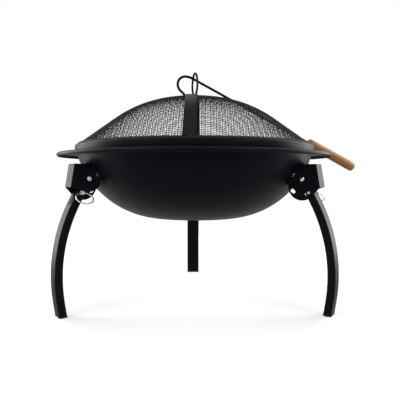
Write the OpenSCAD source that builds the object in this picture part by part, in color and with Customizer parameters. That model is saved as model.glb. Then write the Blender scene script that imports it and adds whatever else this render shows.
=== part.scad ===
// Folding fire pit: a pressed bowl on three curved legs that fold under it, a domed spark lid and a poker.
// Sizes are in millimetres. The origin is the centre of the bowl's flat base, on its underside, and +Z is up.

/* [Bowl] */
// Radius of the bowl's flat base
bowl_base_r = 66; // [50:1:80]
// Outer radius of the curve that rises from the base to the rim
bowl_curve_r = 182; // [170:1:195]
// Height from the base's underside to the rim's top
bowl_depth = 133.5; // [120:0.5:145]
// Width of the flat rim, from the bend under it to its outer edge
rim_w = 35; // [26:0.5:50]
// Outer radius of the rim's rolled edge
roll_r = 5; // [3.5:0.5:6]
// Turn of the rim's rolled edge, in degrees
roll_turn = 150; // [100:5:170]
// Radius of the bend under the rim, where the bowl turns outward
rim_fillet = 6; // [3:0.5:10]
// Thickness of the bowl's sheet steel
sheet_t = 1.6; // [1:0.1:2.4]

/* [Stand] */
// Height of the bowl's base above the floor
stand_h = 170.5; // [166:0.5:200]
// Direction of the back leg, in degrees from the X axis
first_leg = 90; // [0:1:119]

/* [Bracket] */
// Distance of the leg pivot from the bowl's wall, measured level
pivot_out = 18.6; // [18.2:0.1:22]
// Height of the leg pivot above the bowl's base
pivot_z = 82.5; // [80:0.5:86]
// Thickness of the bracket's sheet steel
plate_t = 2; // [1.5:0.1:3]
// Top edge of the bracket, above the pivot
web_rise = 27.5; // [24:0.5:30]
// Bottom edge of the bracket's outer wall, below the pivot
web_drop = 15.5; // [12:0.5:18]
// Outer wall's distance from the pivot, at its top edge
web_reach = 26.5; // [25:0.5:32]
// Slant of the outer wall, in degrees
web_slant = 9.6; // [0:0.2:14]
// Radius of the slotted plate's round lobe
lobe_r = 26.3; // [26:0.1:32]
// Lobe's centre below the pivot
lobe_drop = 14; // [12.5:0.5:15]
// Gap between the plain plate's round edge and the pin's collar, which swings past it
plain_gap = 0.5; // [0.4:0.1:3]
// Radius of the ears on the bowl
ear_r = 15; // [12:0.5:18]
// Distance of an ear's round end from the bracket's side
ear_reach = 3; // [1:0.5:8]
// Distance of an ear's top from the bracket's top edge
ear_drop = 4.5; // [3:0.5:9]
// Distance of a rivet from the centre of its ear's round end
rivet_out = 7.5; // [5:0.5:9]
// Radius of a rivet's shank
rivet_r = 2.4; // [1.8:0.1:3]
// Radius of a rivet's head
rivet_head_r = 4.2; // [3.4:0.1:5]
// Height of a rivet's head
rivet_head_h = 2; // [1.4:0.1:3]
// Radius of the flat crown on a rivet's head
rivet_crown_r = 2.6; // [2:0.1:3.2]
// Radius of a rivet's closed end, inside the bowl
rivet_tail_r = 3.6; // [3.2:0.1:4.2]
// Height of a rivet's closed end
rivet_tail_h = 1.2; // [0.8:0.1:2]

/* [Leg] */
// Width of the leg's tube, across the bracket
leg_w = 30; // [24:0.5:34]
// Thickness of the leg's tube
leg_t = 15; // [12:0.5:18]
// Wall of the leg's tube
leg_wall = 1.5; // [1:0.1:2.1]
// Corner radius of the leg's tube
leg_corner = 2.5; // [2.3:0.1:4]
// Outward lean of the leg's upper part, in degrees
leg_lean = 27; // [25:0.2:27.8]
// Inward lean of the leg's lower part, in degrees
leg_toe_in = 8.7; // [5:0.1:9.4]
// Length of the straight part below the pivot
leg_straight = 51; // [44:1:55]
// Radius of the leg's bend, at its middle
leg_bend_r = 300; // [260:1:306]
// Swelling of the tube's wall where it is bent
bend_swell = 0.03; // [0.02:0.01:0.1]
// Length of the tube above the pivot
leg_top = 12; // [9:0.5:13]
// Thickness of the foot plug's sole
sole_t = 3.4; // [2.5:0.1:5]
// How far the sole stands out past the tube
sole_lip = 0.5; // [0.2:0.1:1]
// Length of the foot plug's stem in the tube
stem_h = 15; // [10:1:22]

/* [Pivot bolt] */
// Radius of the pivot bolt
bolt_r = 2.5; // [2.3:0.1:3]
// Radius of the bolt's head
bolt_head_r = 4.8; // [4.2:0.1:6]
// Height of the bolt's head
bolt_head_h = 2.8; // [2:0.1:4]
// Radius of the flat crown on the bolt's head
bolt_crown_r = 3.4; // [2.8:0.1:4]
// Width of the nut across its flats
nut_flats = 8; // [7.5:0.5:10]
// Height of the nut
nut_h = 4; // [3.2:0.1:5]
// Bolt's end past the nut
bolt_end = 1.4; // [0.6:0.1:3]

/* [Lock pin] */
// Radius of the lock pin
pin_r = 2.9; // [2.5:0.05:3.1]
// Distance from the pivot to the lock pin
pin_reach = 28.7; // [28.2:0.1:29.2]
// Direction of the stow slot's middle, in degrees inward from straight down
stow_angle = 38; // [34:0.5:39]
// Length of each slot along its arc, between its end centres, in degrees
slot_span = 9; // [8.5:0.5:11]
// Pin's end past the bracket's slotted plate
pin_end = 1.2; // [0.8:0.1:1.4]
// Length of the taper at the pin's end
pin_taper = 0.9; // [0.5:0.1:1.4]
// Radius of the pin's collar
collar_r = 3.8; // [3.5:0.1:4.4]
// Length of the pin's collar
collar_h = 2; // [1.2:0.1:3]
// Length of the pin's neck past the collar, up to the eye's centre
eye_reach = 3.8; // [3:0.1:6]
// Wall of the pin's neck round the eye
eye_wall = 1.4; // [1.2:0.05:1.7]
// Radius of the pull ring, at the middle of its wire
pull_ring_r = 15.4; // [12:0.2:19]
// Radius of the pull ring's wire
pull_wire_r = 1.1; // [0.8:0.05:1.3]
// Droop of the pull ring below level, in degrees
pull_droop = 38; // [10:1:90]

/* [Lid] */
// Distance of the band's outer face from the inner edge of the flat rim
lid_lap = -0.5; // [-1:0.5:12]
// Height of the band's upright wall, up to its corner with the shoulder
lid_h = 15; // [11:0.5:20]
// Outer radius of the bend between the wall and the shoulder
lid_bend = 4; // [2.5:0.5:8]
// Width of the band's sloped shoulder, measured level
shoulder_w = 8.2; // [7:0.2:12]
// Thickness of the band's sheet steel
lid_t = 1.5; // [1:0.1:2]
// Height of the dome above the rim
dome_h = 117.2; // [110:0.2:120]
// Radius of the dome's flat top
dome_flat_r = 22; // [12:0.5:30]
// Slope of the shoulder and of the dome's straight lower part, in degrees
dome_slope = 36; // [35:0.1:38]
// Lap of the woven wire under the shoulder, measured level
mesh_lap = 4.5; // [3:0.5:5]
// Number of openings across the woven wire
grid_n = 12; // [8:1:12]
// Width of the wire between two openings
grid_bar = 3; // [2:0.5:5]
// Thickness of the woven wire
mesh_t = 1.4; // [0.8:0.1:2]
// Width of the straps
strap_w = 22; // [16:0.5:28]
// Thickness of the straps
strap_t = 0.9; // [0.8:0.1:1.2]
// Turn of the straps about the lid's axis, in degrees
strap_turn = -2.4; // [-10:0.1:10]
// Shift of the long strap from the lid's axis
strap_shift = 4; // [0:0.5:6]
// Radius of the lid's ring handle, at the middle of its wire
handle_ring_r = 23.3; // [20:0.1:27]
// Radius of the ring handle's wire
handle_wire_r = 2.2; // [1.6:0.1:3]
// Turn of the ring handle out of the long strap's plane, in degrees
handle_turn = 12; // [-15:1:15]

/* [Poker] */
// Radius of the poker's rod
rod_r = 2.65; // [2:0.05:3]
// Gap between the rod and the woven dome that it leans on
rod_rest = 0.8; // [0.5:0.1:4]
// Slope of the rod, in degrees
rod_slope = 24.4; // [22:0.1:24.4]
// Direction of the rod, in degrees from the X axis
rod_turn = 18; // [12:1:30]
// Length of the rod from the hook's bend to the lid's axis
rod_lead = 6; // [5:0.5:14]
// Length of the straight rod, from the hook's bend to the handle
rod_len = 306; // [300:1:326]
// Radius of the hook's first, wide bend, at the middle of the rod
hook_lead_r = 34; // [28:1:40]
// Turn of the hook's first bend, in degrees
hook_lead_turn = 28; // [20:1:30]
// Radius of the hook's second, close bend
hook_r = 16.8; // [15:0.2:17]
// Turn of the hook's second bend, in degrees
hook_turn = 135; // [120:1:140]
// Swelling of the rod's wall at each bend
rod_swell = 0.02; // [0.02:0.01:0.06]
// Length of the hook's straight tail
hook_tail = 13; // [6:0.5:13.5]
// Chamfer of the rod's end
rod_tip = 1; // [0.4:0.1:1.5]
// Depth of the rod in the handle
rod_grip = 45; // [30:1:60]
// Length of the handle
grip_len = 134; // [100:1:150]
// Radius of the handle at its rod end
grip_r_near = 10; // [8:0.25:12]
// Radius of the handle at its far end
grip_r_far = 11; // [8:0.25:12]
// Chamfer of the handle's ends
grip_chamfer = 2.5; // [1:0.25:4]

/* [Clearances] */
// Gap between pieces that are fastened to each other
seat_gap = 0.12; // [0.1:0.01:0.2]
// Gap under the lid, on the rim
rest_gap = 0.2; // [0.1:0.05:0.3]
// Radial play of a pin or bolt that turns or slides in its hole
fit_play = 0.05; // [0.02:0.01:0.1]
// Gap between the leg and each side plate
side_gap = 0.5; // [0.3:0.05:1]
// Radial play of the lock pin in the bracket's slots
slot_play = 0.4; // [0.3:0.05:0.6]
// Radial play of the pull ring's wire in the pin's eye
eye_play = 0.65; // [0.55:0.05:0.9]

/* [Hidden] */
$fn = 64;

LEG_STEP = 360 / 3;
BACK = first_leg;
LEFT = first_leg + LEG_STEP;
RIGHT = first_leg + 2 * LEG_STEP;
PAINT = "#26272a";
ZINC = "#c9ccd0";

// Points along an arc round a centre
function arc(c, r, from, to, n = 24) =
    [for (i = [0:n]) let (a = from + (to - from) * i / n) [c[0] + r * cos(a), c[1] + r * sin(a)]];
function flip(list) = [for (i = [len(list) - 1:-1:0]) list[i]];
function left_of(list) = [for (p = flip(list)) if (p[0] > 0) [-p[0], p[1]]];

// The bowl's section: its curve, the bend under the rim and the angle at which the two meet
curve_c = [bowl_base_r, bowl_curve_r];
fillet_z = bowl_depth - sheet_t - rim_fillet;
fillet_reach = bowl_curve_r + rim_fillet;
fillet_c = [bowl_base_r + sqrt(pow(fillet_reach, 2) - pow(bowl_curve_r - fillet_z, 2)), fillet_z];
meet_angle = -asin((bowl_curve_r - fillet_z) / fillet_reach);
rim_r = fillet_c[0] + rim_w;
roll_c = [rim_r - roll_r, bowl_depth - roll_r];
// The bowl's outer radius at a height
function bowl_r(z) = bowl_base_r + sqrt(pow(bowl_curve_r, 2) - pow(bowl_curve_r - z, 2));
function bowl_line(in) = concat(
    [[0, in]],
    arc(curve_c, bowl_curve_r - in, -90, meet_angle, 36),
    arc(fillet_c, rim_fillet + in, 180 + meet_angle, 90, 10),
    arc(roll_c, roll_r - sheet_t + in, 90, 90 - roll_turn, 12)
);

// The bracket's places, in the upright plane through a leg
pivot_r = bowl_r(pivot_z) + pivot_out;
half_in = leg_w / 2 + side_gap;
half_out = half_in + plate_t;
web_top = [pivot_r + web_reach, pivot_z + web_rise];
web_low = web_top + [(web_rise + web_drop) * tan(web_slant), -web_rise - web_drop];
web_thick = plate_t / cos(web_slant);
lobe_c = [pivot_r, pivot_z - lobe_drop];
ear_z = web_top[1] - ear_r - ear_drop;
ear_t = half_in + ear_reach;
rivet_t = ear_t + rivet_out;
rivet_rise = -asin((bowl_curve_r - ear_z) / bowl_curve_r);
rivet_c = curve_c + bowl_curve_r * [cos(rivet_rise), sin(rivet_rise)];
rivet_turn = asin(rivet_t / rivet_c[0]);

// The leg's places, in the same plane
leg_turn = leg_lean + leg_toe_in;
bend_c = [
    pivot_r + leg_straight * sin(leg_lean) - leg_bend_r * cos(leg_lean),
    pivot_z - leg_straight * cos(leg_lean) - leg_bend_r * sin(leg_lean)
];
shin_len = (bend_c[1] - leg_bend_r * sin(leg_toe_in) + stand_h) / cos(leg_toe_in);
foot_r = bend_c[0] + leg_bend_r * cos(leg_toe_in) - shin_len * sin(leg_toe_in);
// Extra turn of the bend, cut off where the lower straight part starts
bend_spare = 2;
collar_t = leg_w / 2 + rest_gap;
eye_t = collar_t + collar_h + eye_reach;
neck_r = pull_wire_r + eye_play + eye_wall;
// Half the turn of a slot's round end
slot_end = 75;

// The lid's places
rim_top = bowl_depth;
lid_foot = rim_top + rest_gap;
dome_top = rim_top + dome_h;
lid_r = fillet_c[0] + lid_lap;
lid_corner = [lid_r, rim_top + lid_h];
slope_out = [sin(dome_slope), cos(dome_slope)];
lid_bend_c = lid_corner - lid_bend * [1, (1 - slope_out[0]) / slope_out[1]];
shoulder_end = lid_corner + shoulder_w * [-1, tan(dome_slope)];
function lid_line(in) = concat(
    [[lid_r - in, lid_foot]],
    arc(lid_bend_c, lid_bend - in, 0, 90 - dome_slope, 8),
    [shoulder_end - in * slope_out]
);
// The woven wire runs on under the shoulder, at the same slope
mesh_edge = lid_corner - (lid_t + seat_gap) * slope_out;
dome_curve_r = (mesh_edge - [dome_flat_r, dome_top]) * slope_out / (1 - slope_out[1]);
dome_c = [dome_flat_r, dome_top - dome_curve_r];
mesh_foot = mesh_edge[1] + (shoulder_w - mesh_lap) * tan(dome_slope);
strap_foot = shoulder_end[1] + 2 * seat_gap;
grid_r = lid_r - shoulder_w - grid_bar;
grid_pitch = 2 * grid_r / grid_n;
grid_places = [for (i = [0:grid_n - 1]) (i - (grid_n - 1) / 2) * grid_pitch];
// One half of the dome's line, moved outward, from its top to its foot
function dome_edge(out) = dome_c + (dome_curve_r + out) * slope_out;
function dome_line(out, foot) = concat(
    [[0, dome_top + out]],
    arc(dome_c, dome_curve_r + out, 90, 90 - dome_slope, 20),
    [dome_edge(out) + (dome_edge(out)[1] - foot) * [1 / tan(dome_slope), -1]]
);
cross_out = seat_gap;
long_out = cross_out + strap_t + seat_gap;
handle_z = dome_top + long_out + strap_t + seat_gap + handle_ring_r + handle_wire_r;
// Turn by which the hook's first bend runs into the second
rod_lap = 0.5;
// Height of the rod on the lid's axis, where it leans on the dome
rod_z = dome_c[1] + (dome_curve_r + rod_r + rod_rest) / cos(rod_slope) + dome_flat_r * tan(rod_slope);

// Places a piece that is drawn at a leg on the X axis
module at_leg(direction) {
    rotate([0, 0, direction]) children();
}

// An outline in a leg's upright plane, given thickness across the leg
module across(from, to) {
    translate([0, to, 0]) rotate([90, 0, 0]) linear_extrude(to - from) children();
}

// A round bar across the leg, through the pivot or the lock pin
module bar(r, from, to) {
    translate([0, from, 0]) rotate([-90, 0, 0]) cylinder(r = r, h = to - from);
}

module at_pivot() {
    translate([pivot_r, 0, pivot_z]) children();
}

// The leg's own frame: pivot at its origin, tube down its Z axis
module in_leg() {
    at_pivot() rotate([0, -leg_lean, 0]) children();
}

// The lock pin's place, level and on its axis
module at_pin() {
    in_leg() translate([0, 0, -pin_reach]) rotate([0, leg_lean, 0]) children();
}

// The straight part below the bend
module in_shin() {
    in_leg()
        translate([-leg_bend_r, 0, -leg_straight])
            rotate([0, leg_turn, 0])
                translate([leg_bend_r, 0, 0])
                    children();
}

module round_rect(x, y, r) {
    square([x - 2 * r, y], center = true);
    square([x, y - 2 * r], center = true);
    for (sx = [-1, 1], sy = [-1, 1])
        translate([sx * (x / 2 - r), sy * (y / 2 - r)]) circle(r);
}

module tube_section(swell = 0) {
    bore = leg_wall + swell;
    difference() {
        round_rect(leg_t + 2 * swell, leg_w + 2 * swell, leg_corner + swell);
        round_rect(leg_t - 2 * bore, leg_w - 2 * bore, leg_corner - bore);
    }
}

module fire_bowl() {
    color(PAINT)
        difference() {
            rotate_extrude($fn = 180) polygon(concat(bowl_line(0), flip(bowl_line(sheet_t))));
            each_rivet() rivet_hole();
        }
}

// Places for the rivets: two on each bracket
module each_rivet() {
    for (direction = [BACK, LEFT, RIGHT], side = [-1, 1])
        at_leg(direction) at_rivet(side) children();
}

// A rivet's frame: origin on the bowl's outer face, Z axis outward
module at_rivet(side) {
    rotate([0, 0, side * rivet_turn])
        translate([rivet_c[0], 0, rivet_c[1]])
            rotate([0, 90 - rivet_rise, 0])
                children();
}

module rivet_hole() {
    translate([0, 0, -2 * sheet_t])
        cylinder(r = rivet_r + fit_play, h = 2 * sheet_t + 2 * plate_t + 2 * seat_gap);
}

module bracket_rivets() {
    seat = plate_t + 2 * seat_gap;
    color(ZINC)
        each_rivet() {
            translate([0, 0, -sheet_t - seat_gap]) cylinder(r = rivet_r, h = sheet_t + seat_gap + seat);
            translate([0, 0, seat]) cylinder(r1 = rivet_head_r, r2 = rivet_crown_r, h = rivet_head_h);
            translate([0, 0, -sheet_t - seat_gap - rivet_tail_h])
                cylinder(r1 = rivet_tail_r - rivet_tail_h / 2, r2 = rivet_tail_r, h = rivet_tail_h);
        }
}

// The ring-shaped space under the rim, out to a distance from the bowl's curve
module beside_bowl(out) {
    rotate_extrude($fn = 180)
        intersection() {
            translate(curve_c) circle(bowl_curve_r + out, $fn = 180);
            translate([bowl_base_r + bowl_curve_r / 2, 0]) square(bowl_curve_r);
        }
}

module web_outline() {
    polygon([web_top, web_low, web_low - [web_thick, 0], web_top - [web_thick, 0]]);
}

// A slot along the lock pin's arc, from one direction to another
module slot_outline(from, to) {
    r = pin_r + slot_play;
    low = pin_reach * [sin(from), -cos(from)];
    high = pin_reach * [sin(to), -cos(to)];
    polygon(concat(
        arc([0, 0], pin_reach + r, from - 90, to - 90, 6),
        arc(high, r, to - slot_end, to + slot_end, 10),
        arc([0, 0], pin_reach - r, to - 90, from - 90, 6),
        arc(low, r, from + 180 - slot_end, from + 180 + slot_end, 10)
    ));
}

// The angle on a round edge at which the line from the outer wall's low corner runs into it
function edge_angle(c, r) =
    let (d = web_low - c)
    atan2(d[1], d[0]) - acos(r / norm(d));

// A side plate's outline, with a round lower edge
module plate_outline(c, r) {
    polygon(concat(
        [[pivot_r - 2 * ear_r, web_top[1]], web_top, web_low],
        arc(c, r, edge_angle(c, r), -180, 24),
        [[pivot_r - 2 * ear_r, pivot_z]]
    ));
}

module slotted_outline() {
    difference() {
        plate_outline(lobe_c, lobe_r);
        translate([pivot_r, pivot_z]) {
            slot_outline(leg_lean - slot_span, leg_lean);
            slot_outline(-stow_angle - slot_span / 2, -stow_angle + slot_span / 2);
        }
    }
}

module plain_outline() {
    plate_outline([pivot_r, pivot_z], pin_reach - collar_r - plain_gap);
}

// An ear: a patch of sheet that follows the bowl's curve beside a plate
module ear(side) {
    intersection() {
        beside_bowl(seat_gap + plate_t);
        translate([pivot_r - 2 * leg_w, 0, ear_z])
            rotate([90, 0, 90])
                linear_extrude(2 * leg_w)
                    mirror([side < 0 ? 1 : 0, 0])
                        polygon(concat(
                            [[half_in, -ear_r]], arc([ear_t, 0], ear_r, -90, 90, 16), [[half_in, ear_r]]
                        ));
    }
}

module bracket(direction) {
    color(PAINT)
        at_leg(direction)
            difference() {
                union() {
                    across(-half_out, -half_in) slotted_outline();
                    across(half_in, half_out) plain_outline();
                    across(-half_out, half_out) web_outline();
                    ear(-1);
                    ear(1);
                }
                beside_bowl(seat_gap);
                at_pivot() bar(bolt_r + fit_play, -half_out - plate_t, half_out + plate_t);
                for (side = [-1, 1])
                    at_rivet(side) rivet_hole();
            }
}

module pivot_bolt(direction) {
    end = half_out + seat_gap + nut_h + bolt_end;
    color(ZINC)
        at_leg(direction) at_pivot() {
            bar(bolt_r, -half_out - seat_gap, end);
            translate([0, -half_out - seat_gap - bolt_head_h, 0])
                rotate([-90, 0, 0]) cylinder(r1 = bolt_crown_r, r2 = bolt_head_r, h = bolt_head_h);
        }
}

module pivot_nut(direction) {
    color(ZINC)
        at_leg(direction) at_pivot()
            difference() {
                translate([0, half_out + seat_gap, 0])
                    rotate([-90, 0, 0]) cylinder(r = nut_flats / sqrt(3), h = nut_h, $fn = 6);
                bar(bolt_r + fit_play, half_out, half_out + 2 * nut_h);
            }
}

// The leg's bend, cut square where the lower straight part starts
module leg_bend() {
    difference() {
        in_leg()
            translate([-leg_bend_r, 0, -leg_straight])
                rotate([-90, 0, 0])
                    rotate_extrude(angle = leg_turn + bend_spare, $fn = 180)
                        translate([leg_bend_r, 0]) tube_section(bend_swell);
        in_shin() translate([-leg_t, -leg_w, -leg_w]) cube([2 * leg_t, 2 * leg_w, leg_w]);
    }
}

module leg(direction) {
    color(PAINT)
        at_leg(direction)
            difference() {
                union() {
                    in_leg()
                        translate([0, 0, -leg_straight]) linear_extrude(leg_straight + leg_top) tube_section();
                    leg_bend();
                    in_shin()
                        translate([0, 0, sole_t - shin_len]) linear_extrude(shin_len - sole_t) tube_section();
                }
                at_pivot() bar(bolt_r + fit_play, -leg_w, leg_w);
                at_pin() bar(pin_r + fit_play, -leg_w, leg_w);
            }
}

// A plug in the tube's end, with its sole cut level where it meets the floor
module foot_plug(direction) {
    color("#17181a")
        at_leg(direction)
            difference() {
                in_shin() translate([0, 0, -shin_len]) {
                    linear_extrude(sole_t - seat_gap)
                        round_rect(leg_t + 2 * sole_lip, leg_w + 2 * sole_lip, leg_corner + sole_lip);
                    linear_extrude(sole_t + stem_h)
                        round_rect(
                            leg_t - 2 * leg_wall - 2 * seat_gap,
                            leg_w - 2 * leg_wall - 2 * seat_gap,
                            leg_corner - leg_wall
                        );
                }
                translate([foot_r - 2 * leg_w, -leg_w, -stand_h - leg_w]) cube([4 * leg_w, 2 * leg_w, leg_w]);
            }
}

module lock_pin(direction) {
    tip = half_out + pin_end;
    color(ZINC)
        at_leg(direction) at_pin()
            difference() {
                union() {
                    bar(pin_r, pin_taper - tip, collar_t);
                    translate([0, -tip, 0])
                        rotate([-90, 0, 0]) cylinder(r1 = pin_r - pin_taper / 2, r2 = pin_r, h = pin_taper);
                    bar(collar_r, collar_t, collar_t + collar_h);
                    bar(neck_r, collar_t + collar_h, eye_t + neck_r);
                }
                translate([-2 * neck_r, eye_t, 0])
                    rotate([0, 90, 0]) cylinder(r = pull_wire_r + eye_play, h = 4 * neck_r);
            }
}

// A ring through the pin's eye, drooping from it
module pull_ring(direction) {
    color(ZINC)
        at_leg(direction) at_pin()
            translate([0, eye_t, 0])
                rotate([-pull_droop, 0, 0])
                    translate([0, pull_ring_r, 0])
                        rotate_extrude() translate([pull_ring_r, 0]) circle(pull_wire_r);
}

module lid_band() {
    color(PAINT) rotate_extrude($fn = 180) polygon(concat(lid_line(0), flip(lid_line(lid_t))));
}

// The square openings of the woven wire, up to the shoulder
module grid_openings() {
    side = grid_pitch - grid_bar;
    intersection() {
        translate([0, 0, rim_top]) cylinder(r = grid_r, h = 2 * dome_h, $fn = 180);
        for (x = grid_places, y = grid_places)
            if (norm([abs(x) - side / 2, abs(y) - side / 2]) < grid_r - 2 * grid_bar)
                translate([x - side / 2, y - side / 2, rim_top]) cube([side, side, 2 * dome_h]);
    }
}

module spark_mesh() {
    color("#3a3b3d")
        difference() {
            rotate_extrude($fn = 180)
                polygon(concat(dome_line(0, mesh_foot), flip(dome_line(-mesh_t, mesh_foot))));
            grid_openings();
        }
}

// A flat bar bent over the dome along the X axis
module strap(out, shift) {
    low = dome_line(out, strap_foot);
    high = dome_line(out + strap_t, strap_foot);
    across(shift - strap_w / 2, shift + strap_w / 2)
        polygon(concat(left_of(high), high, flip(low), flip(left_of(low))));
}

module cross_strap() {
    color(PAINT) rotate([0, 0, strap_turn]) strap(cross_out, 0);
}

module long_strap() {
    color(PAINT) rotate([0, 0, strap_turn + 90]) strap(long_out, strap_shift);
}

module lid_handle() {
    color(PAINT)
        translate([0, 0, handle_z])
            rotate([0, 0, 90 + handle_turn])
                rotate([90, 0, 0])
                    rotate_extrude() translate([handle_ring_r, 0]) circle(handle_wire_r);
}

// The poker's frame: X axis along its rod towards the handle, origin where the hook's bend starts
module in_poker() {
    translate([0, 0, rod_z])
        rotate([0, 0, rod_turn])
            rotate([0, rod_slope, 0])
                translate([-rod_lead, 0, 0])
                    children();
}

// A bend of the rod in the poker's upright plane, round a centre
module rod_bend(c, r, from, turn, swell) {
    translate([c[0], 0, c[1]])
        rotate([90, 0, 0])
            rotate([0, 0, from]) rotate_extrude(angle = turn) translate([r, 0]) circle(rod_r + swell);
}

module poker_rod() {
    mid = 90 + hook_lead_turn;
    end = mid + hook_turn;
    lead_c = [0, -hook_lead_r];
    hook_c = lead_c + (hook_lead_r - hook_r) * [cos(mid), sin(mid)];
    tail = hook_c + hook_r * [cos(end), sin(end)];
    color(PAINT)
        in_poker() {
            rotate([0, 90, 0]) cylinder(r = rod_r, h = rod_len + rod_grip - seat_gap);
            rod_bend(lead_c, hook_lead_r, 90, hook_lead_turn + rod_lap, rod_swell);
            rod_bend(hook_c, hook_r, mid, hook_turn, 2 * rod_swell);
            translate([tail[0], 0, tail[1]])
                rotate([0, -end, 0]) {
                    cylinder(r = rod_r, h = hook_tail);
                    translate([0, 0, hook_tail]) cylinder(r1 = rod_r, r2 = rod_r - rod_tip, h = rod_tip);
                }
        }
}

module poker_grip() {
    far = rod_len + grip_len;
    color("#b98a55")
        in_poker()
            rotate([0, 90, 0])
                rotate_extrude()
                    polygon([
                        [rod_r + fit_play, rod_len], [grip_r_near - grip_chamfer, rod_len],
                        [grip_r_near, rod_len + grip_chamfer], [grip_r_far, far - grip_chamfer],
                        [grip_r_far - grip_chamfer, far], [0, far], [0, rod_len + rod_grip],
                        [rod_r + fit_play, rod_len + rod_grip]
                    ]);
}

fire_bowl();
bracket_rivets();
lid_band();
spark_mesh();
cross_strap();
long_strap();
lid_handle();
poker_rod();
poker_grip();
bracket(BACK);  // bracket_back
bracket(LEFT);  // bracket_left
bracket(RIGHT);  // bracket_right
pivot_bolt(BACK);  // pivot_bolt_back
pivot_bolt(LEFT);  // pivot_bolt_left
pivot_bolt(RIGHT);  // pivot_bolt_right
pivot_nut(BACK);  // pivot_nut_back
pivot_nut(LEFT);  // pivot_nut_left
pivot_nut(RIGHT);  // pivot_nut_right
leg(BACK);  // leg_back
leg(LEFT);  // leg_left
leg(RIGHT);  // leg_right
foot_plug(BACK);  // foot_plug_back
foot_plug(LEFT);  // foot_plug_left
foot_plug(RIGHT);  // foot_plug_right
lock_pin(BACK);  // lock_pin_back
lock_pin(LEFT);  // lock_pin_left
lock_pin(RIGHT);  // lock_pin_right
pull_ring(BACK);  // pull_ring_back
pull_ring(LEFT);  // pull_ring_left
pull_ring(RIGHT);  // pull_ring_right
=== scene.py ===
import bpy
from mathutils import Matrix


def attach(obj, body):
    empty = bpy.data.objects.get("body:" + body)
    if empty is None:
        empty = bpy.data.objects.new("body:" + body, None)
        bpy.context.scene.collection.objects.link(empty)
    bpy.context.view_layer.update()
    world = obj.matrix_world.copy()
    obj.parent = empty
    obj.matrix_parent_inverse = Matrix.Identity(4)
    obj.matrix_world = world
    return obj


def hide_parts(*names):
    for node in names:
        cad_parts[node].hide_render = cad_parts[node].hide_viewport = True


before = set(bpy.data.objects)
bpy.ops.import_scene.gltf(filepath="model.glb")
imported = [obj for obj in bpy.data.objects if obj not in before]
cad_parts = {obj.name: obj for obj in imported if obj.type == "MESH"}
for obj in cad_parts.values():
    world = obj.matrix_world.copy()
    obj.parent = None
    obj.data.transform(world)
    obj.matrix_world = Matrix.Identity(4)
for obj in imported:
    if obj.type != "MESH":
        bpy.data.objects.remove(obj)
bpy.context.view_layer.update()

from math import asin, cos, pi, radians, sin, sqrt, tan

import bmesh
import bpy
from bpy.props import FloatProperty, FloatVectorProperty, PointerProperty
from mathutils import Matrix, Vector

bl_info = {
    "name": "Folding fire pit",
    "version": (1, 0, 0),
    "blender": (4, 5, 0),
    "location": "View3D > Sidebar > Fire pit",
    "description": "Dresses a folding fire pit: coated bowl and legs, woven spark lid, poker and studio",
    "category": "Object",
}

# Directions of the three legs about the bowl's axis, in degrees from X
SIDES = {"back": 90, "left": 210, "right": 330}

# Small sizes that need no slider, in metres
BOWL_EDGE = 0.0005
RIVET_SHANK_R = 0.0024
RIVET_TAIL = ((0, 0.0011), (0.0021, 0.0011), (0.0034, 0.0005), (0.0036, 0))
BRACKET_EDGE = 0.0005
BRACKET_MERGE = 0.00006
FOOT_EDGE = 0.0006
BOLT_CHAMFER = 0.0005
NUT_EDGE = 0.0005
PIN_EDGE = 0.0003
BAND_EDGE = 0.0004
STRAP_EDGE = 0.0004
WIRE_END_GAP = 0.0012
CROSSING_GAP = 0.001
BEAD = (0.0046, 0.0017, 0.0012)
BEAD_OUT = 0.0020
BEAD_UP = 0.0003
ROD_IN_GRIP = 0.044
GRIP_BORE = 0.045
GRIP_PLAY = 0.00005
GRIP_END = 0.004
GRIP_CHAMFER = 0.0022
GRIP_EDGE = 0.0012

# Share of a bolt head's height that is its upright edge, under the dome
HEAD_EDGE = 0.15

# Width of the camera's sensor, in millimetres
SENSOR_W = 36


def length(name, description, default):
    return FloatProperty(name=name, description=description, default=default, unit="LENGTH", precision=5)


def angle(name, description, degrees):
    return FloatProperty(name=name, description=description, default=radians(degrees), subtype="ANGLE")


def colour(name, description, default):
    return FloatVectorProperty(
        name=name, description=description, default=default, subtype="COLOR", size=3, min=0, max=1,
    )


def share(name, description, default):
    return FloatProperty(name=name, description=description, default=default, min=0, max=1, subtype="FACTOR")


def power(name, description, watts):
    return FloatProperty(name=name, description=description, default=watts, unit="POWER")


class FirePitBowl(bpy.types.PropertyGroup):
    """Sizes of the pressed bowl and of what is riveted to it"""
    base_r: length("Base radius", "Radius of the flat base", 0.066)
    curve_r: length("Curve radius", "Outer radius of the curve from the base to the rim", 0.182)
    depth: length("Depth", "Height from the base to the rim's top", 0.1335)
    rim_w: length("Rim width", "Width of the flat rim, from the bend under it to its outer edge", 0.035)
    roll_r: length("Roll radius", "Outer radius of the rim's rolled edge", 0.0042)
    roll_turn: angle("Roll turn", "Turn of the rim's rolled edge", 150)
    fillet: length("Rim bend", "Radius of the bend under the rim", 0.006)
    sheet: length("Sheet", "Thickness of the sheet steel", 0.0016)
    rivet_t: length("Rivet offset", "Distance of a rivet from its leg's plane", 0.026)
    rivet_z: length("Rivet height", "Height of the rivets over the base", 0.0905)
    rivet_r: length("Rivet head", "Radius of a rivet's head", 0.0042)
    rivet_h: length("Rivet rise", "Height of a rivet's head", 0.002)
    plate: length("Bracket sheet", "Thickness of the bracket's sheet steel", 0.002)
    gap: length("Seat gap", "Gap between pieces that are fastened to each other", 0.00012)


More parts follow.
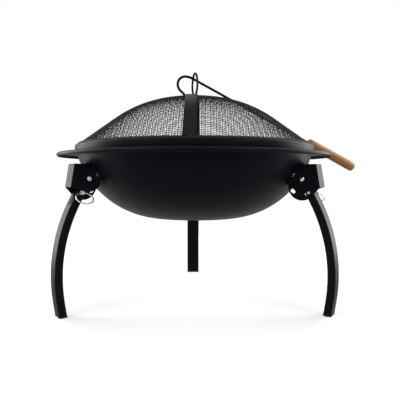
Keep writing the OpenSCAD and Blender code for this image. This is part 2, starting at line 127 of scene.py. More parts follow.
class FirePitLeg(bpy.types.PropertyGroup):
    """Places of the pivot, the lock pin and its ring in a leg's plane"""
    pivot_out: length("Pivot distance", "Distance of the pivot from the bowl's wall, measured level", 0.0186)
    pivot_z: length("Pivot height", "Height of the pivot over the base", 0.0825)
    lean: angle("Lean", "Outward lean of the leg's upper part", 27)
    side: length("Bracket half width", "Distance of the bracket's outer faces from the leg's plane", 0.0175)
    bolt_r: length("Bolt radius", "Radius of the pivot bolt", 0.0025)
    head_r: length("Bolt head radius", "Radius of the bolt's head", 0.0048)
    head_h: length("Bolt head height", "Height of the bolt's head", 0.0028)
    bolt_end: length("Bolt end", "End of the bolt, from the leg's plane", 0.02302)
    pin_reach: length("Pin distance", "Distance of the lock pin from the pivot", 0.0287)
    eye_t: length("Eye", "Distance of the pin's eye from the leg's plane", 0.021)
    ring_r: length("Ring radius", "Radius of the pull ring, at the middle of its wire", 0.0154)
    ring_wire: length("Ring wire", "Radius of the pull ring's wire", 0.0011)
    ring_droop: angle("Ring droop", "Droop of the pull ring below level", 38)


class FirePitLid(bpy.types.PropertyGroup):
    """Sizes of the lid's band, its woven dome, its straps and its ring"""
    lap: length("Band lap", "Distance of the band's outer face from the inner edge of the flat rim", -0.0005)
    band_h: length("Band height", "Height of the band's upright wall, up to its corner with the shoulder", 0.015)
    band_bend: length("Band bend", "Outer radius of the bend between the wall and the shoulder", 0.004)
    shoulder_w: length("Band shoulder", "Width of the band's sloped shoulder, measured level", 0.0082)
    band_t: length("Band sheet", "Thickness of the band's sheet steel", 0.0015)
    rest: length("Rest gap", "Gap under the band, on the rim", 0.0002)
    dome_h: length("Dome height", "Height of the dome over the rim", 0.1172)
    flat_r: length("Dome flat", "Radius of the dome's flat top", 0.022)
    slope: angle("Dome slope", "Slope of the shoulder and of the dome's straight lower part", 36)
    mesh_lap: length("Mesh lap", "Lap of the woven wire under the shoulder, measured level", 0.0045)
    pitch: length("Mesh pitch", "Distance between neighbouring wires of the weave", 0.005)
    wire_r: length("Mesh wire", "Radius of the woven wire", 0.00045)
    weave: length("Weave", "How far a wire rises over the wires that it crosses", 0.0004)
    mesh_in: length("Mesh depth", "Middle of the weave under the dome's outer face", 0.00075)
    turn: angle("Turn", "Turn of the weave and straps about the lid's axis", -2.4)
    strap_t: length("Strap", "Thickness of the straps", 0.0009)
    ring_r: length("Handle radius", "Radius of the ring handle, at the middle of its wire", 0.0233)
    ring_wire: length("Handle wire", "Radius of the ring handle's wire", 0.0022)
    ring_turn: angle("Handle turn", "Turn of the ring handle out of the long strap's plane", 12)


class FirePitPoker(bpy.types.PropertyGroup):
    """Sizes of the hooked poker"""
    rod_r: length("Rod radius", "Radius of the rod", 0.00265)
    rest: length("Rod rest", "Gap between the rod and the woven dome that it leans on", 0.0008)
    slope: angle("Slope", "Slope of the rod", 24.4)
    turn: angle("Turn", "Direction of the rod from the X axis", 18)
    lead: length("Lead", "Length from the hook's bend to the lid's axis", 0.006)
    run: length("Rod length", "Length from the hook's bend to the grip", 0.306)
    lead_r: length("Wide bend", "Radius of the hook's first, wide bend, at the middle of the rod", 0.034)
    lead_turn: angle("Wide bend's turn", "Turn of the hook's first bend", 28)
    hook_r: length("Close bend", "Radius of the hook's second, close bend", 0.0168)
    hook_turn: angle("Close bend's turn", "Turn of the hook's second bend", 135)
    tail: length("Hook tail", "Length of the hook's straight tail, with its rounded end", 0.014)
    grip_len: length("Grip length", "Length of the wooden grip", 0.134)
    grip_near: length("Grip near radius", "Radius of the grip at its rod end", 0.010)
    grip_far: length("Grip far radius", "Radius of the grip at its far end", 0.011)


class FirePitFinish(bpy.types.PropertyGroup):
    """Colours and gloss of the finishes"""
    coat: colour("Black coat", "Heat-proof coat on the steel", (0.0074, 0.0056, 0.0098))
    coat_worn: colour("Black coat, pale", "Coat where it is a little paler", (0.0114, 0.0092, 0.0142))
    gloss: colour("Coat gloss", "Tint of the light that the coat mirrors", (0.97, 0.90, 1.0))
    coat_rough: share("Coat roughness", "Roughness of the coat", 0.38)
    wire: colour("Mesh wire", "Coat on the woven wire", (0.016, 0.015, 0.017))
    zinc: colour("Bright zinc", "Plating of bolts, pins and rings", (0.96, 0.96, 0.98))
    plastic: colour("Foot plastic", "Plastic of the foot plugs", (0.012, 0.012, 0.013))
    wood: colour("Grip wood", "Pale grain of the grip", (0.60, 0.30, 0.105))
    wood_dark: colour("Grip grain", "Dark grain of the grip", (0.46, 0.205, 0.062))


class FirePitStage(bpy.types.PropertyGroup):
    """The studio: camera, floor and soft light"""
    eye: FloatVectorProperty(
        name="Camera", description="Place of the camera", default=(0.0013, -1.0572, 0.0868), subtype="TRANSLATION",
    )
    yaw: angle("Camera yaw", "Turn of the camera to the right", 0.53)
    pitch: angle("Camera pitch", "Tilt of the camera down", 2.69)
    roll: angle("Camera roll", "Roll of the camera", 0.06)
    orbit: angle("Object turn", "Turn of the object in front of the camera", 1.0)
    lens: FloatProperty(name="Lens", description="Focal length, in millimetres", default=45.05, unit="CAMERA")
    floor_z: length("Floor", "Height of the floor", -0.1705)
    sky: share("Sky", "Level of the surrounding light", 0.04)
    mirrored_sky: share("Mirrored backdrop", "Level at which gloss and metal show the white backdrop", 0.45)
    mirrored_floor: share("Mirrored floor", "Level at which gloss and metal show the pale floor", 0.3)
    side_light: power("Side light", "Power of each side light, in watts", 18)
    top_light: power("Top light", "Power of the top light, in watts", 1.5)
    front_light: power("Front light", "Power of each front light, in watts", 13)


GROUPS = {
    "fire_pit_bowl": FirePitBowl,
    "fire_pit_leg": FirePitLeg,
    "fire_pit_lid": FirePitLid,
    "fire_pit_poker": FirePitPoker,
    "fire_pit_finish": FirePitFinish,
    "fire_pit_stage": FirePitStage,
}


def group(name):
    return getattr(bpy.context.scene, "fire_pit_" + name)


# Shader maths

class Value:
    """An output in a material's nodes: arithmetic on it adds Math nodes."""

    def __init__(self, recipe, socket):
        self.recipe = recipe
        self.socket = socket

    def math(self, operation, a, b):
        return self.recipe.node("ShaderNodeMath", {0: a, 1: b}, operation=operation)

    def __add__(self, other):
        return self.math("ADD", self, other)

    def __sub__(self, other):
        return self.math("SUBTRACT", self, other)

    def __rsub__(self, other):
        return self.math("SUBTRACT", other, self)

    def __mul__(self, other):
        return self.math("MULTIPLY", self, other)

    def __pow__(self, other):
        return self.math("POWER", self, other)

    __radd__ = __add__
    __rmul__ = __mul__


class Recipe:
    """The nodes of one material or world."""

    def __init__(self, owner):
        owner.use_nodes = True
        self.owner = owner
        self.tree = owner.node_tree
        self.tree.nodes.clear()

    def node(self, kind, inputs=None, output=0, stops=None, **settings):
        """Adds a node with its settings, ramp stops and socket values or links, and returns one of its outputs."""
        made = self.tree.nodes.new(kind)
        for name, setting in settings.items():
            setattr(made, name, setting)
        if stops:
            ramp = made.color_ramp.elements
            while len(ramp) < len(stops):
                ramp.new(1)
            for element, (place, tone) in zip(ramp, stops):
                element.position = place
                element.color = (*tone, 1)
        for name, value in (inputs or {}).items():
            if isinstance(value, Value):
                self.tree.links.new(value.socket, made.inputs[name])
            else:
                made.inputs[name].default_value = value
        return Value(self, made.outputs[output]) if made.outputs else None

    def mix(self, factor, a, b):
        """A colour between two colours."""
        tone = {6: a if isinstance(a, Value) else (*a, 1), 7: b if isinstance(b, Value) else (*b, 1)}
        return self.node("ShaderNodeMix", {0: factor, **tone}, output=2, data_type="RGBA")

    def noise(self, place, scale, detail=2.0, rough=0.5):
        inputs = {"Vector": place, "Scale": scale, "Detail": detail, "Roughness": rough}
        return self.node("ShaderNodeTexNoise", inputs)

    def place(self, turn=(0, 0, 0), scale=(1, 1, 1)):
        """Object coordinates, turned and stretched."""
        spot = self.node("ShaderNodeTexCoord", output="Object")
        return self.node("ShaderNodeMapping", {"Vector": spot, "Rotation": turn, "Scale": scale})

    def ramp(self, factor, low, high):
        """Factor spread from 0 to 1 between two levels."""
        return self.node("ShaderNodeMapRange", {0: factor, 1: low, 2: high}, clamp=True)

    def bump(self, height, strength, distance):
        return self.node("ShaderNodeBump", {"Height": height, "Strength": strength, "Distance": distance})

    def surface(self, **inputs):
        """Ends a material in one shader, given by its socket names with underscores."""
        named = {key.replace("_", " "): value for key, value in inputs.items()}
        for key in ("Base Color", "Specular Tint"):
            if key in named and not isinstance(named[key], Value):
                named[key] = (*named[key], 1)
        shader = self.node("ShaderNodeBsdfPrincipled", named)
        self.node("ShaderNodeOutputMaterial", {"Surface": shader})
        return self.owner


def material(name):
    """A material's recipe, or None where the material is there already."""
    if name in bpy.data.materials:
        return None
    return Recipe(bpy.data.materials.new(name))


def satin_coat():
    """Satin heat-proof coat: fine orange peel, cloudy gloss and a faint settling of dust."""
    recipe = material("satin_coat")
    if recipe:
        finish = group("finish")
        spot = recipe.place()
        cloud = recipe.noise(spot, 16, 4, 0.55)
        peel = recipe.noise(spot, 850, 2, 0.5)
        speck = recipe.ramp(recipe.noise(spot, 420, 3, 0.7), 0.60, 0.78)
        tone = recipe.mix(cloud * 0.7 + speck * 0.3, tuple(finish.coat), tuple(finish.coat_worn))
        rough = cloud * 0.10 + speck * 0.05 + (finish.coat_rough - 0.05)
        normal = recipe.bump(peel + speck * 0.4, 0.10, 0.0004)
        recipe.surface(
            Base_Color=tone, Roughness=rough, Normal=normal,
            Specular_IOR_Level=0.09, Specular_Tint=tuple(finish.gloss),
        )
    return bpy.data.materials["satin_coat"]


def coated_wire():
    """Drawn wire under a thin coat that is worn at the crossings."""
    recipe = material("coated_wire")
    if recipe:
        finish = group("finish")
        spot = recipe.place()
        wear = recipe.ramp(recipe.noise(spot, 260, 3, 0.6), 0.52, 0.75)
        tone = recipe.mix(wear, tuple(finish.wire), tuple(2.2 * c for c in finish.wire))
        normal = recipe.bump(recipe.noise(spot, 1800, 2), 0.15, 0.0002)
        recipe.surface(Base_Color=tone, Roughness=0.50 - wear * 0.14, Metallic=wear * 0.3, Normal=normal)
    return bpy.data.materials["coated_wire"]


def zinc_plate():
    """Bright zinc plate with a cloudy spangle and fine handling marks."""
    recipe = material("zinc_plate")
    if recipe:
        finish = group("finish")
        spot = recipe.place()
        cells = recipe.node("ShaderNodeTexVoronoi", {"Vector": spot, "Scale": 380}, feature="F1")
        haze = recipe.noise(spot, 120, 4, 0.6)
        marks = recipe.noise(recipe.place((0.4, 0.2, 0.7), (1, 9, 1)), 420, 3, 0.6)
        tone = recipe.mix(haze * 0.6 + cells * 0.5, tuple(finish.zinc), tuple(0.8 * c for c in finish.zinc))
        normal = recipe.bump(marks, 0.06, 0.0002)
        recipe.surface(Base_Color=tone, Metallic=1.0, Roughness=0.14 + haze * 0.12 + marks * 0.05, Normal=normal)
    return bpy.data.materials["zinc_plate"]


def rivet_painted_glints():
    """Black coat with pale, steel-coloured spots in random places on the rivets: painted highlights that stand for
    glints on their crowns.
    """
    recipe = material("rivet_painted_glints")
    if recipe:
        finish = group("finish")
        spot = recipe.place()
        # Painted highlights: random pale spots of partly metallic steel colour, standing for the glints on the
        # rivets' crowns
        painted_glint_mask = recipe.ramp(recipe.noise(spot, 330, 4, 0.65), 0.50, 0.58)
        grain = recipe.noise(spot, 900, 2, 0.5)
        tone = recipe.mix(painted_glint_mask, tuple(finish.coat_worn), tuple(0.8 * c for c in finish.zinc))
        normal = recipe.bump(grain - painted_glint_mask * 0.6, 0.2, 0.0002)
        recipe.surface(Base_Color=tone, Metallic=painted_glint_mask * 0.7, Roughness=0.26 + grain * 0.12, Normal=normal)
    return bpy.data.materials["rivet_painted_glints"]


def foot_plastic():
    """Moulded plastic with a fine leathery grain, scuffed where it stands."""
    recipe = material("foot_plastic")
    if recipe:
        finish = group("finish")
        spot = recipe.place()
        grain = recipe.node("ShaderNodeTexVoronoi", {"Vector": spot, "Scale": 1400}, feature="F1")
        scuff = recipe.ramp(recipe.noise(recipe.place(scale=(1, 1, 3)), 140, 4, 0.65), 0.55, 0.8)
        tone = recipe.mix(scuff, tuple(finish.plastic), tuple(3 * c for c in finish.plastic))
        recipe.surface(Base_Color=tone, Roughness=0.52 + scuff * 0.2, Normal=recipe.bump(grain, 0.25, 0.0002))
    return bpy.data.materials["foot_plastic"]


def varnished_wood():
    """Turned hardwood under clear varnish, with its grain along the grip."""
    recipe = material("varnished_wood")
    if recipe:
        finish, poker = group("finish"), group("poker")
        along = recipe.place((0, -poker.slope, -poker.turn))
        fibre = recipe.node("ShaderNodeMapping", {"Vector": along, "Scale": (0.07, 1, 1)})
        bend = recipe.noise(fibre, 150, 3, 0.6)
        rings = recipe.node(
            "ShaderNodeTexWave", {"Vector": fibre, "Scale": 55, "Distortion": 6.5, "Detail": 3, "Detail Scale": 1.6},
            bands_direction="Z",
        )
        pores = recipe.ramp(recipe.noise(fibre, 1500, 2, 0.6), 0.58, 0.72)
        grain = recipe.ramp(rings * 0.55 + bend * 0.6, 0.2, 0.95)
        tone = recipe.mix(grain, tuple(finish.wood), tuple(finish.wood_dark))
        tone = recipe.mix(pores * 0.25, tone, tuple(0.5 * c for c in finish.wood_dark))
        normal = recipe.bump(1 - pores, 0.2, 0.0003)
        recipe.surface(
            Base_Color=tone, Roughness=0.42 + bend * 0.14, Normal=normal,
            Specular_IOR_Level=0.3, Coat_Weight=0.12, Coat_Roughness=0.25,
        )
    return bpy.data.materials["varnished_wood"]


# Modelling

def arc(centre, r, start, end, steps):
    """Points along an arc, with angles in radians."""
    turns = [start + (end - start) * i / steps for i in range(steps + 1)]
    return [(centre[0] + r * cos(a), centre[1] + r * sin(a)) for a in turns]


def turned(bm, outline, steps, place=Matrix.Identity(4), bevel=0.0):
    """Spins a closed outline of distances and heights about its own axis, and puts it in place."""
    own = bmesh.new()
    verts = [own.verts.new((r, 0, h)) for r, h in outline]
    edges = [own.edges.new((verts[i - 1], verts[i])) for i in range(len(verts))]
    bmesh.ops.spin(
        own, geom=verts + edges, cent=(0, 0, 0), axis=(0, 0, 1), angle=2 * pi, steps=steps, use_merge=True,
    )
    bmesh.ops.remove_doubles(own, verts=own.verts[:], dist=1e-7)
    bmesh.ops.dissolve_degenerate(own, edges=own.edges[:], dist=1e-7)
    bmesh.ops.recalc_face_normals(own, faces=own.faces[:])
    if bevel:
        bevel_edges(own, bevel)
    bmesh.ops.transform(own, matrix=place, verts=own.verts[:])
    append(bm, own)


def bevel_edges(bm, width):
    """Rounds all sharp edges of a turned shape."""
    sharp = [edge for edge in bm.edges if edge.is_manifold and edge.calc_face_angle() > radians(38)]
    bmesh.ops.bevel(
        bm, geom=sharp, offset=width, offset_type="OFFSET", affect="EDGES", segments=2, profile=0.5,
        material=-1, clamp_overlap=True,
    )


def append(bm, own):
    """Adds one mesh in the making to another."""
    mesh = bpy.data.meshes.new("making")
    own.to_mesh(mesh)
    own.free()
    bm.from_mesh(mesh)
    bpy.data.meshes.remove(mesh)


def finish_piece(name, bm, body, finish, stands_for=(), sharp=32):
    """Makes the piece's object, with smooth faces and sharp edges, and lets it ride on a body."""
    mesh = bpy.data.meshes.new(name)
    bm.to_mesh(mesh)
    bm.free()
    mesh.shade_smooth()
    mesh.set_sharp_from_angle(angle=radians(sharp))
    mesh.materials.append(finish)
    piece = bpy.data.objects.new(name, mesh)
    bpy.context.scene.collection.objects.link(piece)
    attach(piece, body)
    if stands_for:
        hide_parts(*stands_for)
    return piece


def solid_copy(node, merge=2e-6):
    """A copy of a solid with merged points and whole flat faces."""
    bm = bmesh.new()
    bm.from_mesh(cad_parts[node].data)
    bmesh.ops.remove_doubles(bm, verts=bm.verts[:], dist=merge)
    bmesh.ops.dissolve_limit(bm, angle_limit=radians(0.6), verts=bm.verts[:], edges=bm.edges[:])
    return bm


def round_outer_edges(bm, width):
    """Rounds the outward edges, except where short edges leave no room."""
    picked = {edge for edge in bm.edges if edge.is_convex and edge.calc_face_angle(0) > radians(60)}
    for again in range(3):
        short = [edge for edge in bm.edges if edge not in picked and edge.calc_length() < 1.5 * width]
        tight = {corner for edge in short for corner in edge.verts}
        picked = {edge for edge in picked if not tight.intersection(edge.verts)}
    bmesh.ops.bevel(
        bm, geom=[edge for edge in bm.edges if edge in picked], offset=width, offset_type="OFFSET", affect="EDGES",
        segments=2, profile=0.5, material=-1, clamp_overlap=False,
    )
    bmesh.ops.triangulate(bm, faces=[face for face in bm.faces if len(face.verts) > 4])
    bmesh.ops.dissolve_degenerate(bm, dist=1e-5, edges=bm.edges[:])


def from_solid(name, node, body, finish, edge, sharp=32):
    """A piece copied from a solid, with edges rounded to a width, or left as they are."""
    piece = finish_piece(name, solid_copy(node), body, finish, (node,), sharp)
    if edge:
        round_off = piece.modifiers.new("edges", "BEVEL")
        round_off.width = edge
        round_off.segments = 2
        round_off.limit_method = "ANGLE"
        round_off.angle_limit = radians(sharp)
        round_off.harden_normals = True
        round_off.use_clamp_overlap = True


def leg_plane(side):
    """A leg's frame: X outward from the bowl's axis, Y across the leg, Z up."""
    return Matrix.Rotation(radians(SIDES[side]), 4, "Z")


def across(side, r, z):
    """A frame whose Z axis runs across the leg, at a place in the leg's plane."""
    return leg_plane(side) @ Matrix.Translation((r, 0, z)) @ Matrix.Rotation(-pi / 2, 4, "X")


def bend_under_rim():
    """Centre of the bend under the rim, over which the flat rim starts."""
    bowl = group("bowl")
    z = bowl.depth - bowl.sheet - bowl.fillet
    return bowl.base_r + sqrt((bowl.curve_r + bowl.fillet) ** 2 - (bowl.curve_r - z) ** 2), z


def pivot_place():
    """Distance of the leg pivot from the bowl's axis, and its height."""
    bowl, leg = group("bowl"), group("leg")
    wall = bowl.base_r + sqrt(bowl.curve_r ** 2 - (bowl.curve_r - leg.pivot_z) ** 2)
    return wall + leg.pivot_out, leg.pivot_z


class FIREPIT_OT_bowl(bpy.types.Operator):
    """Press the bowl, with its flat base, its rolled rim and the rivets of its brackets"""
    bl_idname = "fire_pit.bowl"
    bl_label = "Bowl and rivets"

    def line(self, depth):
        """The sheet's line from the axis to the rolled edge, at a depth into the sheet from its outer face."""
        bowl = group("bowl")
        curve_c = (bowl.base_r, bowl.curve_r)
        fillet_c = bend_under_rim()
        meet = -asin((bowl.curve_r - fillet_c[1]) / (bowl.curve_r + bowl.fillet))
        rim_r = fillet_c[0] + bowl.rim_w
        roll_c = (rim_r - bowl.roll_r, bowl.depth - bowl.roll_r)
        flat = [(bowl.base_r * i / 4, depth) for i in range(4)]
        flat_w = roll_c[0] - fillet_c[0]
        rim = [(fillet_c[0] + flat_w * i / 5, bowl.depth - bowl.sheet + depth) for i in range(1, 5)]
        return (
            flat
            + arc(curve_c, bowl.curve_r - depth, -pi / 2, meet, 48)
            + arc(fillet_c, bowl.fillet + depth, pi + meet, pi / 2, 10)
            + rim
            + arc(roll_c, bowl.roll_r - bowl.sheet + depth, pi / 2, pi / 2 - bowl.roll_turn, 16)
        )

    def execute(self, context):
        bowl = group("bowl")
        bm = bmesh.new()
        turned(bm, self.line(0) + self.line(bowl.sheet)[::-1], 144, bevel=BOWL_EDGE)
        finish_piece("bowl_pressing", bm, "stand", satin_coat(), ("fire_bowl",))
        rise = -asin((bowl.curve_r - bowl.rivet_z) / bowl.curve_r)
        spot = (bowl.base_r + bowl.curve_r * cos(rise), 0, bowl.curve_r + bowl.curve_r * sin(rise))
        swing = asin(bowl.rivet_t / spot[0])
        seat = bowl.plate + 2 * bowl.gap
        inner = bowl.sheet + bowl.gap
        head_r = (bowl.rivet_r ** 2 + bowl.rivet_h ** 2) / (2 * bowl.rivet_h)
        open_a = asin(bowl.rivet_r / head_r)
        outline = (
            [(r, -inner - h) for r, h in RIVET_TAIL]
            + [(RIVET_SHANK_R, -inner), (RIVET_SHANK_R, seat)]
            + arc((0, seat + bowl.rivet_h - head_r), head_r, pi / 2 - open_a, pi / 2, 8)
        )
        bm = bmesh.new()
        for side in SIDES:
            for way in (-1, 1):
                place = leg_plane(side) @ Matrix.Rotation(way * swing, 4, "Z") @ Matrix.Translation(spot)
                turned(bm, outline, 28, place @ Matrix.Rotation(pi / 2 - rise, 4, "Y"))
        finish_piece("domed_rivets", bm, "stand", rivet_painted_glints(), ("bracket_rivets",))
        return {"FINISHED"}


class FIREPIT_OT_brackets(bpy.types.Operator):
    """Fold the leg brackets, with their slots and rounded sheet edges"""
    bl_idname = "fire_pit.brackets"
    bl_label = "Leg brackets"

    def execute(self, context):
        for side in SIDES:
            node = "bracket_" + side
            bm = solid_copy(node, BRACKET_MERGE)
            round_outer_edges(bm, BRACKET_EDGE)
            piece = finish_piece("folded_" + node, bm, "stand", satin_coat(), (node,), sharp=50)
            piece.modifiers.new("flat_faces", "WEIGHTED_NORMAL").keep_sharp = True
        return {"FINISHED"}


class FIREPIT_OT_legs(bpy.types.Operator):
    """Bend the leg tubes and plug their feet"""
    bl_idname = "fire_pit.legs"
    bl_label = "Legs and foot plugs"

    def execute(self, context):
        for side in SIDES:
            from_solid("leg_tube_" + side, "leg_" + side, side + "_leg", satin_coat(), 0)
            from_solid(
                "foot_sole_" + side, "foot_plug_" + side, side + "_leg", foot_plastic(), FOOT_EDGE,
            )
        return {"FINISHED"}


class FIREPIT_OT_fasteners(bpy.types.Operator):
    """Turn the pivot bolts, nuts, lock pins and pull rings"""
    bl_idname = "fire_pit.fasteners"
    bl_label = "Bolts, pins and rings"

    def execute(self, context):
        leg = group("leg")
        gap = group("bowl").gap
        seat = -leg.side - gap
        pivot_r, pivot_z = pivot_place()
        quarter = [pi / 2 * i / 8 for i in range(9)]
        head = [(leg.head_r * sin(a), seat - leg.head_h * (HEAD_EDGE + (1 - HEAD_EDGE) * cos(a))) for a in quarter]
        shank = [
            (leg.head_r, seat), (leg.bolt_r, seat), (leg.bolt_r, leg.bolt_end - BOLT_CHAMFER),
            (leg.bolt_r - BOLT_CHAMFER, leg.bolt_end), (0, leg.bolt_end),
        ]
        pin = Vector((pivot_r + leg.pin_reach * sin(leg.lean), leg.eye_t, pivot_z - leg.pin_reach * cos(leg.lean)))
        for side in SIDES:
            bm = bmesh.new()
            turned(bm, head + shank, 32, across(side, pivot_r, pivot_z))
            finish_piece("domed_bolt_" + side, bm, "stand", zinc_plate(), ("pivot_bolt_" + side,))
            from_solid("hex_nut_" + side, "pivot_nut_" + side, "stand", zinc_plate(), NUT_EDGE)
            from_solid("turned_pin_" + side, "lock_pin_" + side, side + "_pin", zinc_plate(), PIN_EDGE)
            bm = bmesh.new()
            place = leg_plane(side) @ Matrix.Translation(pin) @ Matrix.Rotation(-leg.ring_droop, 4, "X")
            wire = arc((leg.ring_r, 0), leg.ring_wire, 0, 2 * pi, 12)[:-1]
            turned(bm, wire, 56, place @ Matrix.Translation((0, leg.ring_r, 0)))
            node = "pull_ring_" + side
            finish_piece("wire_ring_" + side, bm, side + "_ring", zinc_plate(), (node,))
        return {"FINISHED"}


class Dome:
    """The dome's line, from its flat top down its curve to its straight slope"""

    def __init__(self):
        bowl, lid = group("bowl"), group("lid")
        self.flat_r = lid.flat_r
        self.slope = lid.slope
        self.top = bowl.depth + lid.dome_h
        self.out = Vector((sin(lid.slope), cos(lid.slope)))
        self.corner = Vector((bend_under_rim()[0] + lid.lap, bowl.depth + lid.band_h))
        edge = self.corner - (lid.band_t + bowl.gap) * self.out
        self.foot_r = edge.x - lid.shoulder_w + lid.mesh_lap
        self.curve_r = (edge - Vector((lid.flat_r, self.top))).dot(self.out) / (1 - self.out.y)
        self.slope_r = lid.flat_r + self.curve_r * sin(lid.slope)

    def height(self, r):
        """Height of the dome at a distance from the axis."""
        out = min(max(0, r - self.flat_r), self.curve_r * sin(self.slope))
        down = max(0, r - self.slope_r) * tan(self.slope)
        return self.top - self.curve_r + sqrt(self.curve_r ** 2 - out ** 2) - down

    def point(self, x, y, out):
        """The place over a spot on the plan, moved outward from the dome's face."""
        r = sqrt(x * x + y * y)
        tilt = min(self.slope, asin(min(1, max(0, r - self.flat_r) / self.curve_r)))
        lift = out * sin(tilt) / max(r, 1e-9)
        return Vector((x + x * lift, y + y * lift, self.height(r) + out * cos(tilt)))


class FIREPIT_OT_mesh(bpy.types.Operator):
    """Weave the spark mesh from crossing wires that pass over and under each other"""
    bl_idname = "fire_pit.mesh"
    bl_label = "Woven spark mesh"

    def execute(self, context):
        lid = group("lid")
        dome = Dome()
        reach = dome.foot_r - WIRE_END_GAP
        count = int(reach / lid.pitch)
        steps = [lid.pitch * (i + 0.5) for i in range(-count - 1, count + 1)]
        turn = Matrix.Rotation(lid.turn, 4, "Z")
        for name, swap in (("warp_wires", False), ("weft_wires", True)):
            curve = bpy.data.curves.new(name, "CURVE")
            curve.dimensions = "3D"
            curve.bevel_depth = lid.wire_r
            curve.bevel_resolution = 1
            curve.use_fill_caps = True
            for i, side in enumerate(steps):
                if abs(side) >= reach:
                    continue
                half = sqrt(reach ** 2 - side ** 2)
                knots = [(-half, 0)]
                for j, crossing in enumerate(steps):
                    if abs(crossing) < half - CROSSING_GAP:
                        knots.append((crossing, 1 if (i + j + swap) % 2 else -1))
                knots.append((half, 0))
                spline = curve.splines.new("POLY")
                spline.points.add(len(knots) - 1)
                for point, (run, rise) in zip(spline.points, knots):
                    x, y = (run, side) if swap else (side, run)
                    point.co = (*(turn @ dome.point(x, y, rise * lid.weave - lid.mesh_in)), 1)
            thread = bpy.data.objects.new(name + "_line", curve)
            bpy.context.scene.collection.objects.link(thread)
            bpy.context.view_layer.update()
            bm = bmesh.new()
            woven = thread.evaluated_get(bpy.context.evaluated_depsgraph_get()).to_mesh()
            bm.from_mesh(woven)
            bpy.data.objects.remove(thread)
            finish_piece(name, bm, "lid", coated_wire(), ("spark_mesh",), sharp=80)
        return {"FINISHED"}


class FIREPIT_OT_lid(bpy.types.Operator):
    """Roll the lid's band, bend its straps and weld its ring handle on"""
    bl_idname = "fire_pit.lid"
    bl_label = "Lid band, straps and ring"

    def execute(self, context):
        bowl, lid = group("bowl"), group("lid")
        dome = Dome()
        bend_c = dome.corner - lid.band_bend * Vector((1, (1 - dome.out.x) / dome.out.y))
        end = dome.corner + lid.shoulder_w * Vector((-1, tan(lid.slope)))

        def line(depth):
            return (
                [(dome.corner.x - depth, bowl.depth + lid.rest)]
                + arc(bend_c, lid.band_bend - depth, 0, pi / 2 - lid.slope, 10)
                + [end - depth * dome.out]
            )

        bm = bmesh.new()
        turned(bm, line(0) + line(lid.band_t)[::-1], 144, bevel=BAND_EDGE)
        finish_piece("rolled_band", bm, "lid", satin_coat(), ("lid_band",))
        for name, node in (("strap_under", "cross_strap"), ("strap_over", "long_strap")):
            from_solid(name, node, "lid", satin_coat(), STRAP_EDGE, sharp=20)
        top = bowl.depth + lid.dome_h + 3 * bowl.gap + 2 * lid.strap_t
        turn = Matrix.Rotation(pi / 2 + lid.ring_turn, 4, "Z")
        stand = Matrix.Translation((0, 0, top + lid.ring_r + lid.ring_wire)) @ turn
        bm = bmesh.new()
        wire = arc((lid.ring_r, 0), lid.ring_wire, 0, 2 * pi, 16)[:-1]
        turned(bm, wire, 72, stand @ Matrix.Rotation(pi / 2, 4, "X"))
        finish_piece("welded_ring", bm, "lid", satin_coat(), ("lid_handle",))
        bm = bmesh.new()
        for way in (-1, 1):
            bead = bmesh.ops.create_uvsphere(bm, u_segments=16, v_segments=8, radius=1)["verts"]
            shape = Matrix.Translation((0, way * BEAD_OUT, top + BEAD_UP)) @ Matrix.Diagonal((*BEAD, 1))
            bmesh.ops.transform(bm, matrix=turn @ shape, verts=bead)
        finish_piece("ring_welds", bm, "lid", satin_coat(), sharp=80)
        return {"FINISHED"}


